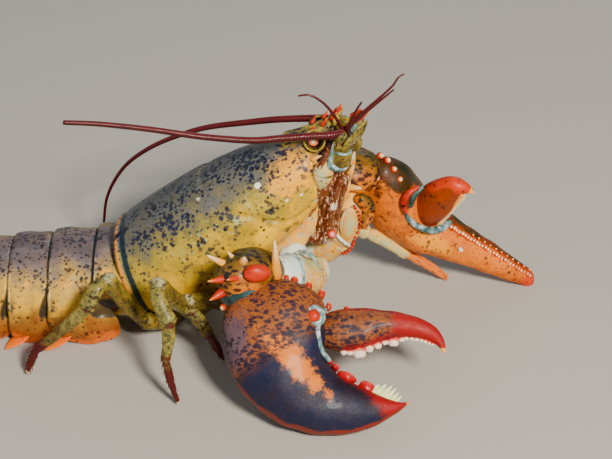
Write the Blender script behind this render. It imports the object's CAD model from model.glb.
"""American lobster, a still life-size model: its shell, claws, legs and feelers in their real finish.

Places are worked out in millimetres from the carapace's rear margin, with the head along +X, the
animal's left along +Y and the floor at z = 0. finished() turns them into metres in the frame.
"""
import math

import bmesh
import bpy
from mathutils import Matrix, Vector, noise


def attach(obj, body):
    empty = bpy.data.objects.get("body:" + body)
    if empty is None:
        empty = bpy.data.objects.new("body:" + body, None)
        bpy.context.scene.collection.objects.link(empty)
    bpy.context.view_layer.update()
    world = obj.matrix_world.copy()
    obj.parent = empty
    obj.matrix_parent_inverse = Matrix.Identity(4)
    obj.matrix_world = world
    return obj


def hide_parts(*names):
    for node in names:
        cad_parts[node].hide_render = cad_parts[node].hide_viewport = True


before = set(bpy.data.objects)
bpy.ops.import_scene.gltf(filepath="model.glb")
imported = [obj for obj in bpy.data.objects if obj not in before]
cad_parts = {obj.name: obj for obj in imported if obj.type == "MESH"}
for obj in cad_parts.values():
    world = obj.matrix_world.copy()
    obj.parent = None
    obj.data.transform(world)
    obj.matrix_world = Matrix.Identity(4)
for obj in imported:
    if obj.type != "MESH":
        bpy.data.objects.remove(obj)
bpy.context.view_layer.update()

MM = 0.001
CENTRE_SHIFT = Vector((-29.6, 11.7, 0.0))
CARAPACE_PITCH = 31.0
CARAPACE_ROLL = 7.0
CARAPACE_REAR_HEIGHT = 40.0
ROLL_DEPTH = 20.0
EYE_RADIUS = 3.9
EYE_BALL_RADIUS = EYE_RADIUS * 0.9
# the sign of y on each side of the animal
SIDES = ((-1, "right"), (1, "left"))
ABDOMEN_SHELL = 1.1
# hairs: how thick they are, how many sides they have, and how near the floor one may end
HAIR_RADIUS = 0.16
HAIR_SIDES = 4
LOWEST_TIP = 0.15

# the photograph's camera: how far it looks down, its distance and its lens
CAMERA_DOWN = 34.0
CAMERA_TARGET = Vector((76.4, 0.0, 39.9))
CAMERA_DISTANCE = 900.0
FOCAL_PIXELS = 2250.0
PHOTO_WIDTH = 612.0
SENSOR_MM = 36.0


# Materials

def linear(colour):
    """An sRGB hex value as the linear colour that a shader takes."""
    channels = [int(colour[k:k + 2], 16) / 255 for k in (0, 2, 4)]
    return [c / 12.92 if c < 0.04045 else ((c + 0.055) / 1.055) ** 2.4 for c in channels] + [1.0]


def add(tree, kind, inputs=None, stops=None, **settings):
    """Add a node: inputs by name or place are values or sockets, stops are a ramp's colours."""
    node = tree.nodes.new("ShaderNode" + kind)
    for key, value in settings.items():
        setattr(node, key, value)
    if stops:
        elements = node.color_ramp.elements
        while len(elements) < len(stops):
            elements.new(0.5)
        for element, (place, colour) in zip(elements, stops):
            element.position = place
            element.color = linear(colour)
    for key, value in (inputs or {}).items():
        if isinstance(value, bpy.types.NodeSocket):
            tree.links.new(value, node.inputs[key])
        elif isinstance(value, str):
            node.inputs[key].default_value = linear(value)
        else:
            node.inputs[key].default_value = value
    return node


def cuticle(name, stops, mottle, spread=0.12, dots=(), overlays=(), roughness=(0.32, 0.5), bump=0.3,
            coat=0.05, along="high", streak=None):
    """Calcified cuticle with its own waxy gloss: colours banded from belly to back (or along
    another mark), cloudy mottling, pigment dots, and overlays that fade in where a mark says."""
    material = bpy.data.materials.new(name)
    material.use_nodes = True
    tree = material.node_tree
    shader = tree.nodes["Principled BSDF"]

    def calc(operation, *values, **settings):
        return add(tree, "Math", dict(enumerate(values)), operation=operation, **settings).outputs[0]

    def ranged(value, low, high, bottom, top, **settings):
        return add(tree, "MapRange", {"Value": value, "From Min": low, "From Max": high,
                                      "To Min": bottom, "To Max": top}, **settings).outputs["Result"]

    def mixed(share, under, over):
        return add(tree, "MixRGB", {"Fac": share, "Color1": under, "Color2": over}).outputs["Color"]

    def marked(label):
        return add(tree, "Attribute", attribute_name=label).outputs["Fac"]

    def clouds(size, detail, **inputs):
        return add(tree, "TexNoise", {"Vector": place, "Scale": 1 / size, "Detail": detail, **inputs})

    # in millimetres, so that a pattern's scale is one over its real size
    metres = add(tree, "TexCoord").outputs["Object"]
    place = add(tree, "VectorMath", {0: metres, "Scale": 1000.0}, operation="SCALE").outputs["Vector"]
    cloud = clouds(11.0, 5.0, Roughness=0.6)
    drift = calc("SUBTRACT", cloud.outputs["Fac"], 0.5)
    level = calc("MULTIPLY_ADD", drift, spread * 4, marked(along))
    colour = add(tree, "ValToRGB", {"Fac": level}, stops=stops).outputs["Color"]

    shade, size, amount = mottle
    patches = clouds(size, 8.0, Roughness=0.68, Distortion=0.6)
    cover = ranged(patches.outputs["Fac"], 0.46, 0.66, 0.0, amount)
    colour = mixed(cover, colour, shade)

    grain = clouds(2.4, 5.0, Roughness=0.75)
    edge = calc("SUBTRACT", grain.outputs["Fac"], 0.5)
    for label, tint, strength, ragged in overlays:
        reach = calc("MULTIPLY_ADD", edge, ragged, marked(label))
        colour = mixed(ranged(reach, 0.3, 0.7, 0.0, strength, interpolation_type="SMOOTHSTEP"), colour, tint)

    # pigment cells are uneven, so the dots' pattern is bent by a millimetre or so
    bend = add(tree, "VectorMath", {0: grain.outputs["Color"], 1: (0.5, 0.5, 0.5)}, operation="SUBTRACT")
    bent = add(tree, "VectorMath", {0: bend.outputs["Vector"], 1: (2.2, 2.2, 2.2), 2: place},
               operation="MULTIPLY_ADD").outputs["Vector"]
    if streak:
        turn, stretch = streak
        bent = add(tree, "Mapping", {"Vector": bent, "Rotation": turn, "Scale": stretch}).outputs["Vector"]
    vary = clouds(9.0, 3.0)
    spotted = calc("SUBTRACT", 1.0, marked("bare"), use_clamp=True)
    for shade, spacing, size, lowest, strength in dots:
        cells = add(tree, "TexVoronoi", {"Vector": bent, "Scale": 1 / spacing, "Randomness": 1.0})
        limit = ranged(vary.outputs["Fac"], 0.35, 0.62, size * 0.45, size * 1.25)
        gap = calc("SUBTRACT", limit, cells.outputs["Distance"])
        dot = ranged(gap, -0.05, 0.07, 0.0, 1.0, interpolation_type="SMOOTHSTEP")
        where = ranged(level, lowest, lowest + 0.18, 0.0, strength)
        fade = calc("MULTIPLY", calc("MULTIPLY", dot, spotted), where)
        colour = mixed(fade, colour, shade)

    tree.links.new(colour, shader.inputs["Base Color"])
    gloss = ranged(patches.outputs["Fac"], 0.3, 0.7, *roughness)
    tree.links.new(gloss, shader.inputs["Roughness"])
    pits = clouds(0.9, 3.0)
    swell = clouds(5.0, 2.0)
    height = calc("MULTIPLY_ADD", swell.outputs["Fac"], 2.5, pits.outputs["Fac"])
    relief = add(tree, "Bump", {"Height": height, "Strength": bump, "Distance": 0.0004})
    tree.links.new(relief.outputs["Normal"], shader.inputs["Normal"])
    shader.inputs["Specular IOR Level"].default_value = 0.25
    shader.inputs["Coat Weight"].default_value = coat
    shader.inputs["Coat Roughness"].default_value = 0.1
    return material


FINISHES = {}


def make_finishes():
    """Every finish of the animal, named after what it is made of."""
    # golden below, orange on the cheek, slate on the back, with blue-black pigment dots
    FINISHES["carapace"] = cuticle(
        "carapace_cuticle",
        [(0.0, "F0B400"), (0.2, "F0B400"), (0.36, "E8B008"), (0.48, "C8A018"), (0.58, "B09830"),
         (0.68, "8A7C40"), (0.8, "68665C"), (1.0, "5E6268")],
        spread=0.17, mottle=("5A5418", 7.0, 0.42),
        dots=(("141C38", 2.0, 0.42, 0.40, 0.9), ("141C38", 1.25, 0.36, 0.55, 0.8),
              ("1A1614", 3.0, 0.2, -0.5, 0.9)),
        overlays=(("cheek", "FFAC00", 0.85, 1.0), ("fleck", "A8D0A8", 0.8, 2.2), ("yolk", "FFC800", 1.0, 0.4),
                  ("seam", "8CD0B8", 0.85, 0.9), ("blotch", "080C10", 0.95, 1.2),
                  ("scar", "FFFAE8", 1.0, 0.3), ("band", "0C3440", 0.95, 0.5),
                  ("rim", "F0983C", 0.9, 0.6)))
    # violet-brown on the back, gold patches halfway down and orange lobes, dark where plates overlap
    FINISHES["abdomen"] = cuticle(
        "abdomen_cuticle",
        [(0.0, "F46C00"), (0.1, "D86400"), (0.18, "904808"), (0.34, "986418"), (0.5, "DCA424"),
         (0.64, "CCA444"), (0.76, "98805C"), (0.86, "766A6C"), (1.0, "5C545A")],
        spread=0.16, mottle=("6A4820", 5.0, 0.45),
        dots=(("1A1C34", 1.9, 0.34, 0.5, 0.85), ("1A1614", 2.6, 0.26, -0.5, 0.8)),
        overlays=(("yolk", "F8B000", 0.85, 1.6), ("facet", "243C3C", 0.9, 1.4),
                  ("seam", "0C1C20", 0.9, 0.6), ("rim", "E8D898", 0.9, 1.4)))
    # brown shading to rust at the fan's edge
    FINISHES["tail"] = cuticle(
        "tail_fan_cuticle",
        [(0.0, "6A5220"), (0.5, "80601C"), (0.8, "945414"), (1.0, "B0500C")], along="along",
        mottle=("2A2A20", 5.0, 0.55), dots=(("1A1C26", 2.4, 0.3, -0.5, 0.75),))
    # navy and brown with a glowing orange patch, its pigment running in streaks across the palm
    FINISHES["crusher"] = cuticle(
        "crusher_cuticle",
        [(0.0, "281C20"), (0.1, "181A34"), (0.36, "161A3C"), (0.6, "4C2C24"), (0.8, "8C4C20"),
         (1.0, "945018")],
        along="inner", mottle=("2C2434", 2.6, 0.75),
        dots=(("10142C", 1.7, 0.42, 0.42, 0.85), ("10142C", 1.1, 0.36, 0.3, 0.7)),
        overlays=(("shadow", "200C14", 0.85, 0.9), ("heel", "5A4854", 0.9, 1.5),
                  ("patch", "D47000", 1.0, 1.7), ("finger", "980008", 0.95, 0.6),
                  ("rim", "8C2404", 0.9, 0.9), ("tip", "FFB040", 0.95, 0.3)),
        roughness=(0.46, 0.62), coat=0.02, streak=((0.0, math.radians(35), 0.0), (0.55, 1.0, 1.0)))
    # clear orange, olive along the crest, rust on the finger
    FINISHES["cutter"] = cuticle(
        "cutter_cuticle",
        [(0.0, "282A08"), (0.3, "383408"), (0.45, "A04400"), (0.7, "D06000"), (1.0, "E07400")],
        along="belly", spread=0.06, roughness=(0.4, 0.56),
        mottle=("A83800", 5.0, 0.6), dots=(("4A1400", 1.9, 0.24, 0.3, 0.75), ("2A1408", 3.4, 0.2, 0.3, 0.7)),
        overlays=(("olive", "1C2410", 0.95, 1.7), ("yolk", "F8A000", 0.85, 0.8),
                  ("finger", "8C3000", 0.9, 0.6), ("rim", "D03400", 0.9, 0.5),
                  ("tip", "FFB458", 0.95, 0.2)))
    # the wrists: rust broken up by green-black blotches
    FINISHES["arm"] = cuticle(
        "arm_cuticle",
        [(0.0, "E88000"), (0.4, "D87400"), (0.7, "8A5C10"), (1.0, "4A4420")],
        mottle=("0C1414", 3.0, 0.9), dots=(("0A101C", 2.0, 0.42, -0.2, 0.9),),
        overlays=(("pale", "C8CFC0", 0.85, 0.5), ("rim", "C83008", 0.9, 0.5)),
        streak=((0.0, math.radians(50), 0.0), (0.5, 1.0, 1.0)))
    # cream and pale sea-green where the arms and the underside are thin
    FINISHES["pale"] = cuticle(
        "pale_cuticle",
        [(0.0, "D8C878"), (0.35, "F0B040"), (0.7, "F0A828"), (1.0, "B8B068")],
        mottle=("90B8A8", 3.0, 0.8), dots=(("8A2A10", 2.8, 0.16, -0.5, 0.8), ("3C4830", 1.8, 0.2, -0.5, 0.5)),
        overlays=(("rim", "E06800", 0.9, 0.9), ("pale", "D8ECE8", 0.9, 1.3)))
    # olive legs mottled green-black, with crimson feet
    FINISHES["leg"] = cuticle(
        "leg_cuticle",
        [(0.0, "6C5818"), (0.45, "A08C2C"), (0.7, "94863A"), (1.0, "7C743C")],
        mottle=("102018", 2.2, 1.0),
        dots=(("101C18", 1.7, 0.34, 0.2, 0.85), ("50140C", 1.8, 0.26, -0.5, 0.8)),
        overlays=(("low", "4C3408", 0.75, 1.6), ("pale", "C8C8A0", 0.6, 1.2), ("joint", "501410", 0.85, 1.3),
                  ("tip", "4C0208", 0.95, 1.2), ("point", "F0E8B8", 1.0, 0.3)), bump=0.5)
    # red spines with pale points
    FINISHES["spine"] = cuticle(
        "spine_cuticle", [(0.0, "903008"), (0.3, "B82000"), (0.56, "C83400"), (0.74, "F88818"),
                          (1.0, "FFF4D8")],
        along="along", spread=0.03, mottle=("B82000", 2.0, 0.3), bump=0.1)
    # ivory spines with amber roots
    FINISHES["ivory"] = cuticle(
        "pale_spine_cuticle", [(0.0, "D87800"), (0.4, "F8A828"), (0.72, "FFE8B8"), (1.0, "FFFFF0")],
        along="along", spread=0.03, mottle=("F09420", 2.0, 0.2), bump=0.1)
    # white enamel with crimson roots
    FINISHES["tooth"] = cuticle(
        "tooth_enamel", [(0.0, "980010"), (0.5, "D01818"), (0.68, "FFDCC4"), (1.0, "FFFAF0")],
        along="tooth", spread=0.04, mottle=("F0C090", 1.6, 0.3), bump=0.15)
    # worn teeth stained green-white
    FINISHES["green_tooth"] = cuticle(
        "worn_tooth_enamel", [(0.0, "D02A18"), (0.25, "E8ECA0"), (1.0, "F8FCD8")],
        along="along", spread=0.04, mottle=("A8BC60", 1.6, 0.5), bump=0.2)
    # crimson mounds that the teeth stand on
    FINISHES["gum"] = cuticle(
        "crimson_cuticle", [(0.0, "880008"), (0.6, "B80010"), (0.86, "E03838"), (1.0, "FFA898")],
        along="tooth", spread=0.05, mottle=("600008", 1.6, 0.4), bump=0.15)
    # smooth orange-red bosses of the joints
    FINISHES["condyle"] = cuticle(
        "condyle_cuticle", [(0.0, "780C00"), (0.5, "B42000"), (1.0, "C42C00")],
        mottle=("600800", 2.0, 0.5), bump=0.1)
    # soft skin of the joints, silvery blue and wet
    FINISHES["membrane"] = cuticle(
        "joint_membrane", [(0.0, "1C3C44"), (0.45, "6C9498"), (1.0, "E8F4F0")],
        mottle=("1C3838", 1.8, 0.8), bump=0.5, coat=0.5)
    # the same skin in shade, dark teal
    FINISHES["teal"] = cuticle(
        "wrist_membrane", [(0.0, "081C20"), (0.5, "1C4448"), (1.0, "6C9C90")],
        mottle=("081014", 2.0, 0.8), bump=0.5, coat=0.5)
    # dark red feelers
    FINISHES["flagellum"] = cuticle(
        "flagellum_cuticle", [(0.0, "180204"), (0.45, "3C060A"), (1.0, "5C0A10")],
        mottle=("1A0204", 4.0, 0.3), bump=0.15, coat=0.25)
    # black eye with an orange shine
    FINISHES["eye"] = cuticle(
        "eye_cornea", [(0.0, "060404"), (1.0, "0A0606")], mottle=("000000", 2.0, 0.2),
        overlays=(("glow", "FF6A08", 1.0, 0.1), ("core", "FFF6E0", 1.0, 0.1)),
        bump=0.02, roughness=(0.08, 0.12), coat=1.0)
    # rusty hairs
    FINISHES["bristle"] = cuticle(
        "bristle_chitin", [(0.0, "300806"), (0.5, "60180C"), (1.0, "A8582C")], along="along",
        mottle=("2A0C0A", 2.0, 0.3), bump=0.0, roughness=(0.4, 0.6))
    # brown jaw feet streaked with pinkish white
    FINISHES["palp"] = cuticle(
        "mouthpart_cuticle", [(0.0, "C8A070"), (0.3, "7A4418"), (0.7, "5C2408"), (1.0, "682808")],
        mottle=("300C04", 1.6, 0.6), bump=0.4, coat=0.3,
        dots=(("E8C09C", 0.9, 0.34, -0.9, 0.8),), streak=((0.0, 0.0, 0.0), (1.0, 1.0, 0.2)),
        overlays=(("pale", "F8E4D0", 0.9, 1.6),))
    # clear orange flaps of the swimming legs
    FINISHES["swimmeret"] = cuticle(
        "swimmeret_cuticle", [(0.0, "F04C00"), (0.6, "FF7400"), (1.0, "FF9820")], along="along",
        mottle=("F04400", 3.0, 0.4), bump=0.15)


# Making forms

def spline(keys, per_span):
    """A smooth run through rows of numbers, per_span rows for each stretch."""
    rows = []
    last = len(keys) - 1
    for i in range(last):
        four = (keys[max(i - 1, 0)], keys[i], keys[i + 1], keys[min(i + 2, last)])
        for k in range(per_span):
            t = k / per_span
            rows.append([0.5 * (2 * q + (r - p) * t + (2 * p - 5 * q + 4 * r - s) * t * t
                                + (3 * q - p - 3 * r + s) * t ** 3) for p, q, r, s in zip(*four)])
    rows.append(list(keys[last]))
    return rows


def smooth(low, high, value):
    """0 below low, 1 above high and an even curve between."""
    t = min(max((value - low) / (high - low), 0.0), 1.0)
    return t * t * (3 - 2 * t)


def near(value, middle, width):
    """A soft bump, 1 at the middle, gone at about two widths."""
    return math.exp(-((value - middle) / width) ** 2)


def spot(point, place, width):
    """A soft round spot, 1 at its place."""
    return near((point - Vector(place)).length, 0, width)


def squarer(value, power):
    """A sine or cosine pushed outwards, for a ring that is squarer than a circle."""
    return math.copysign(abs(value) ** (2 / power), value)


def oval(centre, side, up, half, rise, drop, power, sides):
    """A ring that starts at its lowest point; side and up are unit vectors."""
    points = []
    for k in range(sides):
        angle = math.tau * k / sides - math.pi / 2
        c, s = math.cos(angle), math.sin(angle)
        along = squarer(c, power) * half
        high = squarer(s, power) * (rise if s > 0 else drop)
        points.append(Vector(centre) + side * along + up * high)
    return points


def shrunk(points, scale, move):
    """A ring drawn in towards its middle and moved."""
    middle = sum(points, Vector()) / len(points)
    return [middle + (p - middle) * scale + move for p in points]


def domed(rings, bulge=0.5, steps=4):
    """The rings with a rounded end added before the first and after the last."""
    caps = []
    for end, beside in ((rings[0], rings[1]), (rings[-1], rings[-2])):
        middle = sum(end, Vector()) / len(end)
        outward = (middle - sum(beside, Vector()) / len(beside)).normalized()
        reach = sum((p - middle).length for p in end) / len(end) * bulge
        cap = []
        for k in range(1, steps + 1):
            angle = math.pi / 2 * k / steps
            cap.append(shrunk(end, math.cos(angle), outward * reach * math.sin(angle)))
        caps.append(cap)
    return caps[0][::-1] + rings + caps[1]


def mark_layer(bm, name):
    """Where a mark is kept on every point, made when it isn't there yet."""
    return bm.verts.layers.float.get(name) or bm.verts.layers.float.new(name)


def skin(bm, rings):
    """Bend a grid onto the rings, close it round, and note how high and how far along each
    point lies: high runs from 0 at a ring's lowest point to 1 at its top."""
    sides = len(rings[0])
    rows = len(rings) - 1
    high = mark_layer(bm, "high")
    along = mark_layer(bm, "along")
    made = bmesh.ops.create_grid(bm, x_segments=sides, y_segments=rows, size=1)
    for vert in made["verts"]:
        column = round((vert.co.x + 1) / 2 * sides)
        row = round((vert.co.y + 1) / 2 * rows)
        vert[high] = 1 - abs(2 * column / sides - 1)
        vert[along] = row / rows
        vert.co = rings[row][column % sides]
    bmesh.ops.remove_doubles(bm, verts=made["verts"], dist=0.002)


def heading(points, i):
    """The direction of a path at one of its points."""
    return (points[min(i + 1, len(points) - 1)] - points[max(i - 1, 0)]).normalized()


def limb_rings(keys, per_span, sides, flat, sideways):
    """Rings along a path of (x, y, z, radius), flat times as thick as they are wide."""
    rows = spline(keys, per_span)
    points = [Vector(row[:3]) for row in rows]
    rings = []
    for i, (point, row) in enumerate(zip(points, rows)):
        ahead = heading(points, i)
        up = ahead.cross(Vector(sideways)).normalized()
        side = up.cross(ahead).normalized()
        if up.z < 0:
            up, side = -up, -side
        rings.append(oval(point, side, up, row[3], row[3] * flat, row[3] * flat, 2.0, sides))
    return rings


def add_limb(bm, keys, per_span=8, sides=20, flat=1.0, sideways=(0, 1, 0), bulge=0.5, steps=4):
    """A limb along its keys, rounded off at both ends."""
    skin(bm, domed(limb_rings(keys, per_span, sides, flat, sideways), bulge, steps))


def with_radii(path, radii):
    """A path's points with their radii, as the keys of a limb."""
    return [(*point, radius) for point, radius in zip(path, radii)]


def spine(bm, base, tip, radius, sides=10):
    """A spine or a bristle whose root is sunk in what it grows from."""
    base, tip = Vector(base), Vector(tip)
    ahead = tip - base
    keys = [(*(base - ahead * 0.3), radius * 1.15), (*base, radius), (*(base + ahead * 0.5), radius * 0.62),
            (*(base + ahead * 0.85), radius * 0.3), (*tip, radius * 0.1)]
    sideways = Vector((0, 0, 1)) if abs(ahead.normalized().z) < 0.8 else Vector((0, 1, 0))
    add_limb(bm, keys, 2, sides, 1.0, sideways, 0.8, 2)


def limb_piece(name, finish, slot, keys, *shape, **settings):
    """A piece that is one limb."""
    bm = bmesh.new()
    add_limb(bm, keys, *shape, **settings)
    finished(name, bm, finish)


def facing(direction):
    """The turn that takes +Z to a direction."""
    return Vector((0, 0, 1)).rotation_difference(Vector(direction)).to_matrix().to_4x4()


def lying(tangent, normal):
    """The turn whose X runs along the tangent and whose Z is the normal."""
    normal = Vector(normal).normalized()
    across = normal.cross(Vector(tangent)).normalized()
    return Matrix((across.cross(normal), across, normal)).transposed().to_4x4()


def knob(bm, centre, size, direction=(0, 0, 1), tangent=None, lumpy=0.12, segments=20):
    """A rounded tooth or knob, size (along the tangent, across it, high); its tooth mark runs
    from 0 at the root to 1 at the crown."""
    tooth = mark_layer(bm, "tooth")
    high = mark_layer(bm, "high")
    along = mark_layer(bm, "along")
    made = bmesh.ops.create_uvsphere(bm, u_segments=segments, v_segments=segments // 2, radius=1)
    seed = Vector(centre)
    for vert in made["verts"]:
        crown = (vert.co.z + 1) / 2
        vert[tooth] = crown
        vert[high] = crown
        vert[along] = crown ** 2.5
        vert.co *= 1 + lumpy * noise.noise(vert.co * 1.3 + seed)
    turn = lying(tangent, direction) if tangent else facing(direction)
    bmesh.ops.transform(bm, matrix=Matrix.Translation(centre) @ turn @ Matrix.Diagonal((*size, 1)),
                        verts=made["verts"])


def knob_piece(name, finish, slot, *shape, marks=()):
    """A piece that is one knob; marks are the same all over it."""
    bm = bmesh.new()
    knob(bm, *shape)
    for label, value in dict(marks).items():
        mark(bm, label, lambda p, v=value: v)
    finished(name, bm, finish)


def hoop(bm, centre, axis, radius, thick):
    """A closed ring of round section about an axis."""
    centre, axis = Vector(centre), Vector(axis).normalized()
    arm = axis.orthogonal().normalized()
    place = Matrix.Translation(centre + arm * radius) @ facing(axis.cross(arm))
    made = bmesh.ops.create_circle(bm, segments=12, radius=thick, matrix=place)
    edges = list({edge for vert in made["verts"] for edge in vert.link_edges})
    bmesh.ops.spin(bm, geom=made["verts"] + edges, cent=centre, axis=axis, angle=math.tau, steps=48,
                   use_merge=True)


def mark(bm, name, rule):
    """Note on every point how strongly a place on the animal shows there."""
    layer = mark_layer(bm, name)
    for vert in bm.verts:
        vert[layer] = rule(vert.co)


def cloud_mark(bm, name, level, swing, size):
    """An uneven mark: its mean level, how far it swings and how big its clouds are."""
    mark(bm, name, lambda p: level + swing * noise.noise(p / size))


def roughen(bm, amount, size, seed=0.0):
    """Uneven growth: points move along their normals by smooth noise of that size."""
    bm.normal_update()
    shift = Vector((seed, seed * 0.7, -seed))
    for vert in bm.verts:
        vert.co += vert.normal * amount * noise.noise(vert.co / size + shift)


def new_object(name, bm):
    """An object at the origin from a form that is complete."""
    mesh = bpy.data.meshes.new(name)
    bm.to_mesh(mesh)
    bm.free()
    piece = bpy.data.objects.new(name, mesh)
    bpy.context.scene.collection.objects.link(piece)
    return piece


def finished(name, bm, finish, nodes=()):
    """Close the piece's making: normals outwards, metres, finish, body and what it stands for."""
    bmesh.ops.recalc_face_normals(bm, faces=bm.faces)
    bmesh.ops.transform(bm, matrix=Matrix.Scale(MM, 4) @ Matrix.Translation(CENTRE_SHIFT), verts=bm.verts)
    # nothing sinks into the floor
    for vert in bm.verts:
        vert.co.z = max(vert.co.z, 0.0)
    piece = new_object(name, bm)
    piece.data.shade_smooth()
    piece.data.materials.append(FINISHES[finish])
    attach(piece, "root")
    if nodes:
        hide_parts(*nodes)


# The carapace's own directions

PITCH = math.radians(CARAPACE_PITCH)
BACK = Vector((math.cos(PITCH), 0, math.sin(PITCH)))
UPRIGHT = Vector((-math.sin(PITCH), 0, math.cos(PITCH)))
ROLL = Matrix.Rotation(-math.radians(CARAPACE_ROLL), 3, BACK)
SIDE = ROLL @ Vector((0, 1, 0))
RAISE = ROLL @ UPRIGHT
ROLL_CENTRE = Vector((0, 0, CARAPACE_REAR_HEIGHT)) - UPRIGHT * ROLL_DEPTH


def on_back(along, across, high):
    """A point given along the carapace's back, across it and above it."""
    return ROLL_CENTRE + BACK * along + SIDE * across + RAISE * (high + ROLL_DEPTH)


def back_place(point):
    """The reverse of on_back, with the two sides folded onto one."""
    away = point - ROLL_CENTRE
    return Vector((away.dot(BACK), -abs(away.dot(SIDE)), away.dot(RAISE) - ROLL_DEPTH))


def eye_centre(side):
    return on_back(92.0, 9.2 * side, -2.6 if side < 0 else -4.4)


# along the back, back height, belly height, half width, squareness, lean
CARAPACE_RINGS = (
    (0.0, 0.0, -36.0, 21.0, 2.3, 0.20),
    (2.5, 0.9, -38.0, 22.6, 2.3, 0.21),
    (12.0, 2.1, -40.0, 24.5, 2.3, 0.25),
    (26.0, 3.3, -41.5, 25.8, 2.3, 0.30),
    (38.0, 3.9, -41.5, 25.6, 2.3, 0.36),
    (42.0, 3.7, -41.3, 25.2, 2.3, 0.38),
    (47.0, 3.6, -41.0, 25.0, 2.3, 0.41),
    (60.0, 2.8, -39.5, 23.4, 2.3, 0.48),
    (74.0, 1.0, -37.0, 20.6, 2.2, 0.55),
    (86.0, -1.0, -34.0, 17.2, 2.2, 0.60),
    (95.0, -3.4, -30.0, 13.5, 2.2, 0.62),
)
# the cervical groove from the back down the cheek and forward, and the short one that joins it
CERVICAL_GROOVE = ((41.8, 0.0, 3.8), (43.2, -6.0, 3.2), (44.3, -11.0, 1.6), (44.9, -16.4, -0.7),
                   (47.5, -20.3, -3.9), (50.9, -22.1, -7.7), (55.7, -22.6, -12.5), (60.1, -21.4, -17.7),
                   (65.7, -17.8, -24.5), (70.3, -14.6, -26.4), (75.0, -12.5, -26.0), (82.0, -9.6, -23.5))
CHEEK_GROOVE = ((60.4, -19.8, -6.4), (60.2, -21.4, -11.0), (61.0, -21.6, -16.5))
# how the shell turns in at its ends: each ring's scale and its move along the back
REAR_EDGE = ((0.0, 7), (0.5, 7), (0.85, 6.5), (0.93, 3), (0.97, 0.2), (0.99, -0.3))
FRONT_EDGE = ((0.985, 0.5), (0.95, 0.5), (0.91, -0.6), (0.86, -4.0), (0.5, -5.0), (0.0, -5.0))
# dark blotches in the groove, and the shell's pale scars with their widths
BLOTCHES = ((61.5, -19.0, -20.5), (65.2, -15.0, -27.8), (69.0, -13.8, -29.0))
SCARS = ((65.5, -17.9, -5.1, 1.5), (41.3, -15.2, -0.4, 1.3), (77.8, -16.1, -17.4, 0.8),
         (72.4, -18.4, -15.8, 0.9))


def distance_to(path, point):
    """How far a point lies from a bent line."""
    best = 1e9
    for a, b in zip(path, path[1:]):
        a, b = Vector(a), Vector(b)
        t = min(max((point - a).dot(b - a) / (b - a).length_squared, 0), 1)
        best = min(best, (point - a - (b - a) * t).length)
    return best


def carapace_ring(row, sides):
    """A ring of the carapace, cut in by its grooves."""
    along, back, belly, half, power, lean = row
    middle = back - 0.47 * (back - belly)
    up = RAISE + BACK * lean
    centre = on_back(along, 0, 0) + up * middle
    points = []
    for p in oval(centre, SIDE, up, half, back - middle, middle - belly, power, sides):
        place = back_place(p)
        # the grooves, deeper on the cheek, and a fine seam down the back
        depth = (0.6 + 0.6 * smooth(-6, -18, place.z)) * near(distance_to(CERVICAL_GROOVE, place), 0, 1.4)
        depth += 0.35 * near(distance_to(CHEEK_GROOVE, place), 0, 1.3)
        if place.x < 84:
            depth += 0.35 * near(place.y, 0, 0.7) * smooth(-6, -1, place.z)
        # a furrow and a raised rim at each end
        depth += 0.7 * near(along, 3.6, 1.1) - 0.25 * near(along, 0.9, 0.9)
        depth += 0.5 * near(along, 92.6, 0.9) - 0.3 * near(along, 94.6, 0.8)
        points.append(p + (centre - p).normalized() * depth)
    return points


def build_carapace():
    rows = spline(CARAPACE_RINGS, 14)
    rings = [carapace_ring(row, 144) for row in rows]
    rear, front = rings[0], rings[-1]
    rings = ([shrunk(rear, scale, BACK * move) for scale, move in REAR_EDGE] + rings
             + [shrunk(front, scale, BACK * move) for scale, move in FRONT_EDGE])
    bm = bmesh.new()
    skin(bm, rings)
    # the eye sockets
    for side in (-1, 1):
        eye = eye_centre(side)
        axis = (SIDE * side * 0.75 + BACK * 0.45 + RAISE * 0.35).normalized()
        for vert in bm.verts:
            away = vert.co - eye
            if away.length < EYE_RADIUS + 1.5:
                aside = (away - axis * away.dot(axis)).length
                wall = math.sqrt(max((EYE_RADIUS + 1.5) ** 2 - aside ** 2, 0))
                vert.co += axis * (-wall - away.dot(axis))
    marks = {
        "seam": lambda q: (0.75 * near(distance_to(CERVICAL_GROOVE, q), 0, 0.9) * smooth(46, 58, q.x)
                           + 0.35 * near(distance_to(CHEEK_GROOVE, q), 0, 0.7)),
        "cheek": lambda q: 0.8 * near(q.x, 79, 14) * near(q.z, -9, 9.5),
        "fleck": lambda q: (0.3 * near(q.z, -12, 5) * smooth(12, 30, q.x) * smooth(72, 60, q.x)
                            + 0.3 * smooth(84, 89, q.x) * near(q.z, -12, 5)),
        "yolk": lambda q: max(0.7 * smooth(62, 76, q.x) * smooth(-25, -29, q.z),
                              1.1 * spot(q, (57.6, -19.8, -25.3), 5.2)),
        "blotch": lambda q: max(0.6 * near(distance_to(CERVICAL_GROOVE, q), 0, 1.0) * near(q.x, 70, 6.5),
                                *(0.62 * spot(q, b, 2.8) for b in BLOTCHES)),
        "scar": lambda q: max(spot(q, (x, y, z), width) for x, y, z, width in SCARS),
        "band": lambda q: near(q.x - 0.2 * q.z, 4.4, 1.7),
        "rim": lambda q: near(q.x - 0.2 * q.z, 1.2, 1.0),
    }
    for name, rule in marks.items():
        mark(bm, name, lambda p, rule=rule: rule(back_place(p)))
    finished("carapace_shell", bm, "carapace", ["carapace"])


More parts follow.
